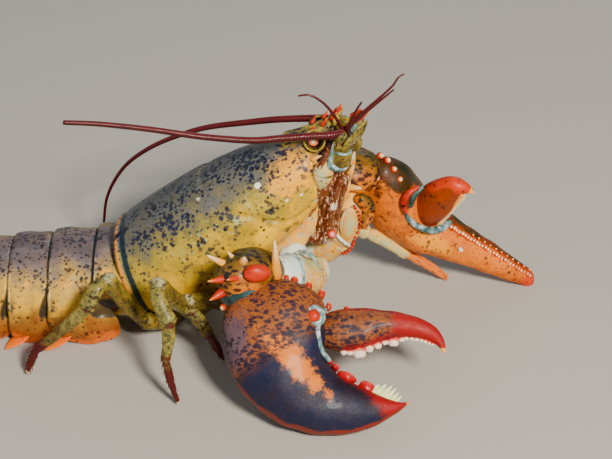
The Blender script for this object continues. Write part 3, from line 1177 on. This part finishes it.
def build_cutter():
    plane = CUTTER
    palm_marks = {
        "belly": lambda q: smooth(-3.5, 1.5, q.z),
        "olive": lambda q: max(0.95 * smooth(11, 16, q.y) * smooth(18, 8, q.x),
                               0.6 * smooth(6, -2, q.x) * smooth(0, 9, q.y)),
        "yolk": lambda q: near(q.x, 34, 12) * near(q.y, -1, 3.4) * smooth(2, 6, q.z),
        "finger": lambda q: 0.5 * smooth(50, 78, q.x) + 0.4 * smooth(8, 0, q.x),
        "rim": lambda q: 0.8 * smooth(74, 80, q.x),
        "tip": lambda q: smooth(82.0, 83.4, q.x) * smooth(0, -1, q.y),
    }
    claw_base(plane, CUTTER_PALM, "cutter_palm", "cutter", ["claw_left_palm"], 96, palm_marks,
              2.0, 2.0)
    outer = [(row[0], row[1], 0.0) for row in CUTTER_DACTYL]
    dactyl_marks = {
        "belly": lambda q: 0.5,
        "olive": lambda q: 0.45 * near(q.x - 0.2 * q.y, 13.0, 2.0) * smooth(20, 10, q.y),
        "yolk": lambda q: 0.3 * near(q.y, 4, 4),
        "finger": lambda q: 0.62,
        "rim": lambda q: 0.9 * max(smooth(28.0, 31.5, q.y),
                                   near(in_plane(outer, q), 0, 1.6) * smooth(16, 22, q.y)),
        "tip": lambda q: smooth(25.5, 28.5, q.x) * smooth(28.5, 30.5, q.y),
    }
    claw_base(plane, CUTTER_DACTYL, "cutter_finger", "cutter", ["claw_left_dactyl"], 80,
              dactyl_marks, 6.0, 2.0)

    bm = bmesh.new()
    for k in range(PALM_TEETH):
        u = PALM_TEETH_START + PALM_TEETH_PITCH * k
        size = 1.15 - 0.011 * k + 0.14 * math.sin(k * 2.1)
        knob(bm, plane.at(u, 4.2 + 0.3 * math.sin(k * 1.7), 0.8), (size * 0.85, size, size * 1.35),
             plane.up + plane.front * 0.3, plane.along, 0.2, 14)
        if k % 2 and k > 6:
            knob(bm, plane.at(u + 0.4, 4.6, -1.2), (0.6, 0.6, 0.9), plane.up, plane.along, 0.2, 10)
    finished("cutter_palm_teeth", bm, "spine")
    bm = bmesh.new()
    for k in range(FINGER_TEETH):
        t = k / (FINGER_TEETH - 1)
        u, v = 32.6 - 5.4 * t ** 1.1, 4.0 + 25.6 * t
        for out in (-1.4, 0.6, 2.6):
            spine(bm, plane.at(u - 1.6, v, out), plane.at(u + 0.5, v + 0.2, out + 0.5), 0.5, 8)
    finished("cutter_finger_teeth", bm, "ivory")

    bm = bmesh.new()
    for u, v, out in ((-6.6, 14.2, -3.6), (-4.0, 16.4, -2.0), (-0.6, 17.0, 0.6), (3.8, 15.8, 2.6),
                      (-4.4, 12.4, 5.6)):
        knob(bm, plane.at(u, v, out), (1.5, 1.4, 2.2), plane.up + plane.front * 0.25, plane.along, 0.2)
    knob(bm, plane.at(12.6, 18.4, 3.4), (1.0, 1.0, 1.5), plane.up + plane.front * 0.4, plane.along, 0.2)
    finished("cutter_knobs", bm, "spine")

    keys = plane.path(((11.0, 20.4, 3.6, 0.8), (9.0, 17.6, 6.8, 1.5), (9.8, 14.0, 9.2, 1.6),
                       (13.4, 10.2, 10.4, 1.0)))
    limb_piece("cutter_hinge_boss", "condyle", "cutter", keys, flat=0.9, sideways=plane.front, bulge=0.6)
    bm = bmesh.new()
    keys = plane.path(((14.0, 7.9, 9.0, 0.7), (17.8, 6.4, 9.8, 1.2), (22.8, 5.2, 9.6, 1.3),
                       (29.4, 4.6, 7.6, 1.5), (33.6, 5.4, 4.0, 1.6), (35.4, 7.0, 0.6, 1.2)))
    add_limb(bm, keys, flat=0.8, sideways=plane.front)
    cloud_mark(bm, "high", 0.35, 0.8, 1.8)
    finished("cutter_hinge_skin", bm, "membrane")
    keys = plane.path(((12.4, 21.0, 3.0, 0.9), (11.6, 17.8, 6.4, 1.5), (13.6, 12.8, 8.2, 1.3)))
    limb_piece("cutter_hinge_shade", "teal", "cutter", keys, flat=0.8, sideways=plane.front)
    knob_piece("cutter_palm_scar", "carapace", "cutter", plane.at(46.1, 1.6, 6.0), (1.3, 1.0, 0.5),
               plane.front + plane.up * 0.8, plane.along, marks={"scar": 1.0})


# The arms that carry the claws

def add_spines(bm, rows, sides=16):
    """Spines of an arm, each from its base to its tip."""
    for base, tip, radius in rows:
        spine(bm, base, tip, radius, sides)


def arm_piece(name, keys, finish, node, rules=(), *, seed):
    """One length of an arm; rules say where its pale and red marks lie."""
    bm = bmesh.new()
    add_limb(bm, keys, 8, 48, bulge=0.45, steps=5)
    for label, rule in dict(rules).items():
        mark(bm, label, rule)
    roughen(bm, 0.5, 4.0, seed)
    finished(name, bm, finish, [node] if node else [])


def build_crusher_arm():
    arm_piece("crusher_wrist", ((62.5, -35.5, 44.0, 7.0), (59.5, -38.0, 46.0, 8.8), (55.5, -41.0, 47.6, 9.9),
                                (50.5, -44.0, 47.4, 9.4), (46.8, -45.5, 44.6, 7.6)),
              "arm", "claw_right_carpus", seed=3.0)
    bm = bmesh.new()
    add_spines(bm, (((45.4, -44.5, 54.0), (39.0, -45.5, 58.8), 1.6),
                    ((48.8, -43.0, 55.6), (46.8, -43.5, 59.0), 1.2),
                    ((52.6, -46.0, 56.2), (53.2, -49.0, 60.2), 1.9),
                    ((64.9, -44.0, 52.0), (64.6, -46.0, 66.0), 1.9)))
    finished("crusher_wrist_pale_spines", bm, "ivory")
    bm = bmesh.new()
    add_spines(bm, (((44.6, -49.6, 50.5), (39.4, -52.4, 51.6), 1.6),
                    ((50.2, -51.0, 52.1), (46.6, -54.6, 53.8), 1.4),
                    ((43.4, -51.6, 45.0), (40.0, -54.6, 44.4), 1.6)))
    knob(bm, (44.9, -53.6, 40.4), (1.3, 1.3, 1.3), (-0.6, -0.8, 0.1))
    finished("crusher_wrist_red_spines", bm, "spine")
    knob_piece("crusher_wrist_condyle", "condyle", "crusher", (57.8, -50.8, 54.2), (5.4, 3.6, 2.6),
               (2.4, -10.4, 3.7), (1, 0, 0), 0.1, 32)
    bm = bmesh.new()
    add_limb(bm, ((51.5, -43.5, 47.0, 8.6), (52.0, -45.0, 42.0, 8.8), (54.0, -46.0, 37.5, 8.0)), 8, 40)
    roughen(bm, 0.8, 3.0)
    finished("crusher_wrist_skin", bm, "teal")
    arm_piece("crusher_arm", ((80.5, -22.0, 33.5, 5.5), (77.0, -25.5, 34.5, 7.5), (71.0, -30.5, 38.0, 8.5),
                              (65.0, -35.0, 42.5, 7.5)), "pale", "claw_right_merus",
              {"pale": lambda p: 0.8 * smooth(80, 72, p.x) + 0.3 * smooth(76, 81, p.x)}, seed=5.0)
    arm_piece("crusher_arm_root", ((71.0, -9.0, 36.0, 5.5), (73.0, -13.0, 32.5, 6.5),
                                   (77.0, -17.0, 32.0, 6.0), (82.0, -20.5, 34.5, 5.5)),
              "pale", "claw_right_ischium",
              {"pale": lambda p: 0.8 * smooth(80, 76, p.x) + 0.5 * smooth(81.5, 84, p.x)}, seed=6.0)
    bm = bmesh.new()
    hoop(bm, (76.0, -21.5, 36.5), (0.6, 0.75, -0.2), 6.4, 0.8)
    hoop(bm, (69.2, -31.6, 39.4), (0.6, 0.55, -0.4), 8.4, 0.7)
    cloud_mark(bm, "high", 0.6, 0.5, 2.5)
    finished("crusher_arm_joint_skin", bm, "membrane")


def build_cutter_arm():
    arm_piece("cutter_wrist", ((94.0, 7.0, 55.0, 6.5), (95.0, 9.5, 58.5, 9.0), (97.0, 13.5, 58.5, 10.0),
                               (99.5, 17.5, 54.5, 8.5)), "arm", "claw_left_carpus", seed=8.0)
    bm = bmesh.new()
    add_spines(bm, (((91.6, -1.0, 57.8), (93.8, -2.0, 65.6), 1.7),
                    ((93.6, 0.6, 66.0), (95.2, -1.4, 71.6), 1.5),
                    ((94.6, 3.0, 71.0), (95.4, 1.4, 76.0), 1.4),
                    ((94.2, -0.8, 60.4), (98.2, -3.4, 61.8), 1.5)))
    finished("cutter_wrist_spines", bm, "ivory")
    arm_piece("cutter_arm", ((89.5, -1.0, 36.0, 5.5), (91.0, 0.0, 41.0, 7.0), (92.8, 3.0, 48.0, 7.4),
                             (94.0, 5.5, 53.0, 5.4)), "pale", "claw_left_merus",
              {"rim": lambda p: 0.8 * smooth(95.5, 98.5, p.x)}, seed=9.0)
    # the flat orange face of the arm inside its raised pale rim, and its rows of red knobs
    knob_piece("cutter_arm_rim", "pale", "cutter", (93.2, -6.2, 46.8), (7.6, 3.6, 1.5), (0.25, -1, 0.1),
               (0.1, 0, 1), 0.06, 40, marks={"pale": 0.3})
    knob_piece("cutter_arm_face", "pale", "cutter", (93.5, -6.8, 46.8), (6.7, 2.9, 1.5), (0.25, -1, 0.1),
               (0.1, 0, 1), 0.06, 40, marks={"rim": 0.34})
    arm_piece("cutter_arm_edge", ((97.5, -1.5, 56.0, 2.4), (101.0, 0.5, 50.0, 3.2), (98.5, -2.0, 43.0, 2.4)),
              "arm", None, seed=4.0)
    bm = bmesh.new()
    for place in spline([(95.4, -5.4, 54.6), (97.6, -4.8, 49.8), (97.6, -5.0, 44.2), (95.4, -5.8, 38.2)], 3):
        knob(bm, place, (0.62, 0.62, 0.9), (0.4, -0.9, 0.2), None, 0.2, 12)
    for place in spline([(91.4, -7.4, 33.4), (93.6, -7.2, 34.8), (95.2, -6.8, 37.6)], 2):
        knob(bm, place, (0.75, 0.75, 0.9), (0.3, -0.9, -0.3), None, 0.2, 12)
    finished("cutter_arm_knobs", bm, "condyle")
    arm_piece("cutter_arm_root", ((71.5, 9.0, 37.0, 5.0), (73.5, 9.0, 30.0, 5.8), (78.0, 5.0, 27.0, 5.8),
                                  (84.0, 1.0, 30.5, 6.0), (90.0, -1.5, 36.0, 5.4)), "pale",
              "claw_left_ischium", {"rim": lambda p: smooth(27.5, 24.5, p.z),
                                    "pale": lambda p: 0.5 * smooth(84, 80, p.x)}, seed=10.0)
    bm = bmesh.new()
    keys = ((87.6, -5.8, 42.6, 0.5), (90.6, -7.3, 39.6, 0.75), (93.6, -6.8, 36.7, 0.6))
    add_limb(bm, keys, 8, 14, bulge=0.6)
    mark(bm, "high", lambda p: 1.0)
    finished("cutter_arm_joint_skin", bm, "membrane")


# The walking legs: points from the hip to the foot, with the knee at the same place in each
LEGS = {
    "leg_5_right": ((27, -9, 8), (21, -17, 7.5), (12, -24, 12.0), (5, -28, 25), (-1, -31, 37.0),
                    (-5, -36, 36), (-8.5, -38.5, 29.5), (-19, -41, 20),
                     (-29, -42, 12), (-32, -42.4, 5), (-33.5, -42.6, 0.2)),
    "leg_4_right": ((39, -10, 15), (34, -20, 16), (29.5, -29, 21.5), (25, -38, 33), (19.8, -45.5, 45.0),
                    (20.2, -51, 42.5), (24.2, -56.5, 35), (23.8, -58.5, 27.5),
                     (22.6, -60, 20.4), (24.4, -61.5, 10.4), (27.2, -62.2, 0.2)),
    "leg_3_right": ((50, -11, 20), (45, -19, 20), (40, -25, 22), (35, -30.5, 26.5), (30.6, -35, 29),
                    (31.8, -36, 26.2), (34.5, -36.6, 21.5), (38.5, -36.6, 14.5),
                     (42, -35.5, 6), (44.2, -34.8, 0.2)),
    "leg_2_right": ((60, -11, 28), (58, -18, 25), (56, -25, 24), (56, -30, 26), (57, -34, 28),
                    (58.5, -36, 24), (60, -37, 18), (62, -37, 9),
                     (63, -36.5, 4), (64, -36, 0.2)),
    "leg_5_left": ((27, 9, 8), (21, 17, 6), (14, 24, 6.5), (7, 28.5, 8), (0, 31, 9.5),
                    (-4, 32.5, 10), (-8, 34, 8.5), (-14, 36, 6.5), (-20, 38, 4.2),
                    (-24, 39.3, 2.2), (-28, 40.3, 0.2)),
    "leg_4_left": ((39, 10, 15), (35, 20, 14), (31, 29, 18), (28, 37, 26), (25, 43, 33),
                    (25, 48, 31), (26, 52, 25), (28, 56, 16), (29, 58.5, 9),
                    (29.5, 60, 4), (30, 61, 0.2)),
    "leg_3_left": ((50, 11, 20), (50, 21, 19), (52, 31, 23), (54, 40, 31), (57, 46, 37),
                    (60, 50, 34), (64, 54, 27), (68, 58, 16), (71, 60.5, 7),
                    (73, 62, 0.2)),
    "leg_2_left": ((60, 11, 28), (66, 14, 24), (76, 15.5, 24), (87, 14.5, 28.5), (96, 13.5, 31.5),
                    (101, 14, 29.0), (107, 15.5, 25), (118, 18, 15.5), (127, 20, 8),
                    (135, 21.2, 0.4)),
}
KNEE = 4
# radii along the upper half, and along lower halves of seven and of six points
UPPER_RADII = (3.5, 3.2, 2.9, 3.4, 3.1)
LOWER_RADII = {7: (2.8, 3.1, 3.1, 2.3, 1.8, 1.5, 0.5), 6: (2.6, 3.0, 2.9, 2.2, 1.6, 0.5)}


def joint_mark(bm, joints):
    """Reddish rings where two lengths meet."""
    mark(bm, "joint", lambda p: max(0.8 * near((p - Vector(j)).length, 2.0, 0.9) for j in joints))


def leg_marks(bm, foot, knee, joints):
    """Crimson feet with a pale claw, a small pale spot on the knee and reddish joints."""
    mark(bm, "tip", lambda p: smooth(23, 11, (p - foot).length))
    mark(bm, "point", lambda p: smooth(2.4, 1.2, (p - foot).length))
    mark(bm, "pale", lambda p: 0.7 * near((p - knee).length, 2.6, 1.3) * smooth(-1, 2, p.z - knee.z))
    joint_mark(bm, joints)


def flared(keys):
    """A length of leg that swells a little into a lip at its far end."""
    rows = spline(keys, 8)
    last = len(rows) - 1
    return [(*row[:3], row[3] * (1 + 0.16 * near(i, last - 1.5, 1.8) - 0.2 * near(i, 1, 3.0)))
            for i, row in enumerate(rows)]


def build_legs():
    bristles = bmesh.new()
    for name, path in LEGS.items():
        upper, lower = path[:KNEE + 1], path[KNEE:]
        _, number, label = name.split("_")
        # the leg that reaches forward beside the cutter is pale with an orange foot
        finish = "pale" if name == "leg_2_left" else "leg"
        foot, knee = Vector(lower[-1]), Vector(upper[-1])
        bm = bmesh.new()
        keys = with_radii(upper, UPPER_RADII)
        for part in (keys[:3], keys[2:]):
            add_limb(bm, flared(part), 1, 28, 1.2, (0, 0, 1), 0.4)
        leg_marks(bm, foot, knee, [upper[2]])
        roughen(bm, 0.35, 2.5, 1.0)
        finished(name + "_thigh", bm, finish, [name + "_upper"])
        keys = with_radii(lower, LOWER_RADII[len(lower)])
        # the length below the knee has one point more where the path is longer
        split = len(lower) - 4
        bm = bmesh.new()
        for part in (keys[:split], keys[split - 1:-2], keys[-3:]):
            add_limb(bm, flared(part), 1, 28, 0.82, (1, 0, 0.2), 0.4)
        if number in "23":
            # the first two pairs of legs end in little pincers
            side = -1 if label == "right" else 1
            start, end = Vector(lower[-3]), Vector(lower[-1])
            out = Vector((0.5, 0.9 * side, 0.6))
            finger = [(*(start + out), 1.2), (*((start + end) / 2 + out * 1.6), 1.1),
                      (*(end + out + Vector((0, 0, 0.6))), 0.6)]
            add_limb(bm, finger, flat=0.9, sideways=(1, 0, 0.2))
        leg_marks(bm, foot, knee, [lower[split - 1], lower[-3]])
        mark(bm, "rim", lambda p: smooth(30, 16, (p - foot).length))
        mark(bm, "low", lambda p: 0.75 * smooth(34, 16, p.z))
        roughen(bm, 0.35, 2.0, 2.0)
        finished(name + "_shin", bm, finish, [name + "_lower"])
        leg_bristles(bristles, keys, 46 if number in "45" else 20)
    finished("leg_bristles", bristles, "bristle")


def leg_bristles(bm, keys, count):
    """Rows of stiff hairs on the last two lengths of a leg, pointing to its foot."""
    rows = spline(keys[-4:], 10)
    for k in range(count):
        t = 0.3 + 0.66 * k / count
        row = rows[int(t * (len(rows) - 1))]
        after = rows[min(int(t * (len(rows) - 1)) + 2, len(rows) - 1)]
        middle, ahead = Vector(row[:3]), (Vector(after[:3]) - Vector(row[:3])).normalized()
        around = Matrix.Rotation(k * 2.4, 3, ahead) @ ahead.orthogonal().normalized()
        base = middle + around * row[3] * 0.85
        tip = base + ahead * 1.9 + around * 1.0
        tip.z = max(tip.z, LOWEST_TIP)
        spine(bm, base, tip, HAIR_RADIUS, HAIR_SIDES)


# Feelers: the long pair's middle lines, then each short pair's base and its two branches

ANTENNA_RIGHT = ((90.0, -10.5, 91.6), (85.0, -13.0, 92.0), (78.0, -13.6, 92.0), (66.5, -14.5, 91.6),
                 (55.0, -16.5, 92.0), (36.3, -20.5, 96.2), (17.7, -23.5, 101.2), (-0.8, -25.5, 104.7),
                 (-14.1, -26.5, 106.0))
ANTENNA_LEFT = ((91.0, 10.0, 84.0), (86.0, 11.5, 84.6), (80.0, 12.0, 84.6), (66.1, 14.5, 82.6),
                (54.2, 18.0, 79.2), (38.0, 22.0, 74.5), (26.0, 25.0, 69.0), (14.2, 28.0, 61.6),
                (4.4, 30.0, 53.0), (-1.8, 31.0, 44.0), (-6.0, 32.0, 33.6), (-7.8, 33.0, 21.6))
ANTENNULES = {
    "right": (((88.5, -4.0, 79.0), (90.5, -4.6, 84.0), (91.5, -5.0, 88.0)),
              (((91.2, -5.0, 87.5), (88.5, -5.4, 94.0), (85.0, -5.2, 99.5), (81.5, -5.0, 103.0),
                (77.5, -5.0, 105.2), (73.3, -5.0, 104.8)),
               ((91.6, -4.8, 87.5), (94.0, -4.4, 94.0), (96.0, -4.0, 98.4), (97.8, -4.0, 101.6)))),
    "left": (((89.5, 3.5, 77.0), (91.8, 3.8, 81.5), (93.0, 4.2, 85.5)),
             (((92.6, 4.2, 85.0), (99.0, 5.0, 91.9), (105.1, 6.0, 97.6), (109.7, 7.0, 102.0),
               (112.0, 8.0, 105.2), (114.3, 9.0, 106.4)),
              ((93.4, 5.6, 84.6), (99.6, 6.6, 90.4), (105.4, 7.6, 95.4), (110.5, 8.8, 99.5)))),
}


# the stems that the long feelers grow from, and the scales beside them
FEELER_ROOTS = {
    "right": ((86.5, -9.5, 77.0), (88.5, -11.0, 82.0), (90.0, -11.2, 87.2), (89.6, -11.0, 91.6)),
    "left": ((88.0, 9.5, 73.0), (90.0, 11.0, 77.5), (91.3, 11.0, 81.5), (91.6, 10.2, 85.2)),
}
FEELER_SCALES = {
    "right": ((91.5, -13.0, 86.0), (94.4, -13.6, 90.6), (97.2, -12.6, 94.2), (99.8, -11.0, 97.4)),
    "left": ((89.5, 13.5, 76.0), (93.5, 14.5, 80.5), (97.0, 13.2, 85.2), (99.5, 11.2, 88.8)),
}


def ringed_tube(bm, path, radius, end_scale, spacing=1.0, sides=16):
    """A feeler made of many short rings, each a little proud at its far edge."""
    rows = spline(path, 24)
    points = [Vector(rows[0])]
    for row in rows[1:]:
        while (Vector(row) - points[-1]).length > spacing / 4:
            points.append(points[-1] + (Vector(row) - points[-1]).normalized() * spacing / 4)
    keys = []
    for i, point in enumerate(points):
        taper = 1 + (end_scale - 1) * i / (len(points) - 1)
        ring = (0.93, 0.97, 1.02, 1.0)[i % 4]
        keys.append((*point, radius * taper * ring))
    add_limb(bm, keys, 1, sides, 1.0, (0, 1, 0.3), 0.6, 3)


def build_feelers():
    for label, path in (("right", ANTENNA_RIGHT), ("left", ANTENNA_LEFT)):
        bm = bmesh.new()
        ringed_tube(bm, path, 1.6, 0.6 if label == "right" else 0.35)
        finished("antenna_flagellum_" + label, bm, "flagellum",
                 ["antenna_%s_root" % label, "antenna_%s_tip" % label])
    for label, (base, feelers) in ANTENNULES.items():
        bm = bmesh.new()
        add_limb(bm, with_radii(base, (1.9, 1.6, 1.2)), 6)
        for path in feelers:
            ringed_tube(bm, path, 0.75, 0.5, 0.8, 12)
        finished("antennule_pair_" + label, bm, "flagellum", ["antennule_" + label])
    for _, label in SIDES:
        bm = bmesh.new()
        keys = with_radii(FEELER_ROOTS[label], (3.4, 3.2, 2.8, 1.9))
        for part in (keys[:2], keys[1:3], keys[2:]):
            add_limb(bm, flared(part), 1, 28, 1.0, (1, 0, 0.2), 0.4)
        joint_mark(bm, FEELER_ROOTS[label][1:3])
        finished("antenna_peduncle_" + label, bm, "leg", ["antenna_base_" + label])
        bm = bmesh.new()
        blade = FEELER_SCALES[label]
        add_limb(bm, with_radii(blade, (2.4, 3.4, 2.8, 0.6)), 8, 28, 0.42, (0.5, 0.6, -0.4))
        edge = Vector(blade[3]) + Vector((1.2, 0, -2.0))
        mark(bm, "pale", lambda p: 0.6 * spot(p, blade[1], 4.0))
        mark(bm, "joint", lambda p: spot(p, edge, 2.4))
        finished("antenna_blade_" + label, bm, "leg", ["antenna_scale_" + label])
    bm = bmesh.new()
    add_spines(bm, (((95.6, 11.8, 86.6), (98.6, 11.0, 89.8), 1.1),
                    ((97.4, 11.6, 84.8), (101.2, 11.0, 88.2), 1.1)), 14)
    finished("antenna_blade_spines", bm, "spine")


# the left jaw foot's middle line, the strands beside it (forwards, outwards, radii) and its pale facets
JAW_FOOT = ((79.0, 6.5, 41.0), (84.0, 8.4, 43.0), (86.0, 8.6, 54.0), (88.0, 7.8, 63.0), (90.4, 6.4, 69.3))
JAW_STRANDS = ((-2.6, -1.2, (2.4, 2.4, 2.0, 1.7, 1.3)), (0.0, 0.4, (2.6, 2.5, 2.2, 1.9, 1.5)),
               (2.5, -0.6, (2.2, 2.2, 1.9, 1.7, 1.2)))
JAW_FACETS = ((86.0, 9.6, 65.5), (87.3, 10.2, 57.8), (84.1, 10.4, 41.6))
JAW_HAIRS = 90


def build_mouthparts():
    """The jaw feet that hang over the mouth, each of three strands side by side."""
    hairs = bmesh.new()
    for side, label in SIDES:
        bm = bmesh.new()
        strands = []
        for shift, out, radii in JAW_STRANDS:
            keys = [(x + shift, (y + out) * side, z, radius) for (x, y, z), radius in zip(JAW_FOOT, radii)]
            strands.append(keys)
            add_limb(bm, keys, 10, 28)
        roughen(bm, 0.7, 1.8, side)
        facets = on_side(JAW_FACETS, side)
        mark(bm, "pale", lambda p: (0.3 * noise.noise(Vector((p.x, p.y, p.z * 0.25)))
                                    + max(0.7 * spot(p, f, 1.8) for f in facets)))
        finished("maxilliped_" + label + "_shell", bm, "palp", ["maxilliped_" + label])
        rows = spline(strands[1], 10)
        for k in range(JAW_HAIRS):
            row = rows[int(k / JAW_HAIRS * len(rows))]
            base = Vector((row[0] + 1.5 * math.sin(k * 2.4), row[1] * (1 + 0.12 * math.cos(k * 2.4)), row[2]))
            tip = base + Vector((2.0 * math.sin(k * 2.4), side * 1.2, 0.9 * noise.noise(base) - 0.6))
            spine(hairs, base, tip, 0.17, HAIR_SIDES)
    finished("mouth_hairs", hairs, "bristle")
    knob_piece("mouth_joint_boss", "gum", "feeler", (86.6, -10.6, 45.1), (1.9, 1.9, 1.5), (0.2, -1, 0.2))


# Stage, light and camera

FLOOR_HALF_METRES = 3.0
FLOOR_COLOUR = "AEACA6"
SKY_COLOUR = "DCE4EC"
SKY_STRENGTH = 0.2


def build_stage():
    bm = bmesh.new()
    bmesh.ops.create_grid(bm, x_segments=1, y_segments=1, size=FLOOR_HALF_METRES)
    floor = new_object("floor", bm)
    paint = bpy.data.materials.new("matt_floor_paint")
    paint.use_nodes = True
    shader = paint.node_tree.nodes["Principled BSDF"]
    shader.inputs["Base Color"].default_value = linear(FLOOR_COLOUR)
    shader.inputs["Roughness"].default_value = 0.85
    floor.data.materials.append(paint)


def add_light(name, place, target, size, energy, colour):
    lamp = bpy.data.lights.new(name, "AREA")
    lamp.size = size
    lamp.energy = energy
    lamp.color = linear(colour)[:3]
    holder = bpy.data.objects.new(name, lamp)
    holder.location = place
    holder.rotation_euler = (Vector(target) - Vector(place)).to_track_quat("-Z", "Y").to_euler()
    bpy.context.scene.collection.objects.link(holder)


def build_lights():
    add_light("key_light", (0.42, -0.88, 0.84), (0.03, 0, 0.03), 0.2, 29.0, "FFF4E2")
    add_light("fill_light", (-0.9, -0.3, 0.7), (0, 0, 0.03), 1.2, 3.0, "E6EEFF")
    add_light("rim_light", (0.3, 1.1, 0.8), (0, 0, 0.03), 0.8, 3.5, "FFFFFF")
    world = bpy.data.worlds.new("studio")
    world.use_nodes = True
    sky = world.node_tree.nodes["Background"]
    sky.inputs["Color"].default_value = linear(SKY_COLOUR)
    sky.inputs["Strength"].default_value = SKY_STRENGTH
    bpy.context.scene.world = world


def build_camera():
    down = math.radians(CAMERA_DOWN)
    looking = Vector((0, math.cos(down), -math.sin(down)))
    camera = bpy.data.objects.new("camera", bpy.data.cameras.new("camera"))
    camera.location = (CAMERA_TARGET + CENTRE_SHIFT - looking * CAMERA_DISTANCE) * MM
    camera.rotation_euler = (math.pi / 2 - down, 0, 0)
    camera.data.sensor_width = SENSOR_MM
    camera.data.lens = SENSOR_MM * FOCAL_PIXELS / PHOTO_WIDTH
    camera.data.clip_start = 0.01
    bpy.context.scene.collection.objects.link(camera)
    bpy.context.scene.camera = camera


def main():
    build_camera()
    build_lights()
    build_stage()
    make_finishes()
    build_carapace()
    build_rostrum()
    build_eyes()
    build_underside()
    build_head_front()
    build_abdomen()
    build_belly()
    build_tail_fan()
    build_crusher()
    build_cutter()
    build_crusher_arm()
    build_cutter_arm()
    build_legs()
    build_feelers()
    build_mouthparts()


main()
bpy.context.view_layer.update()
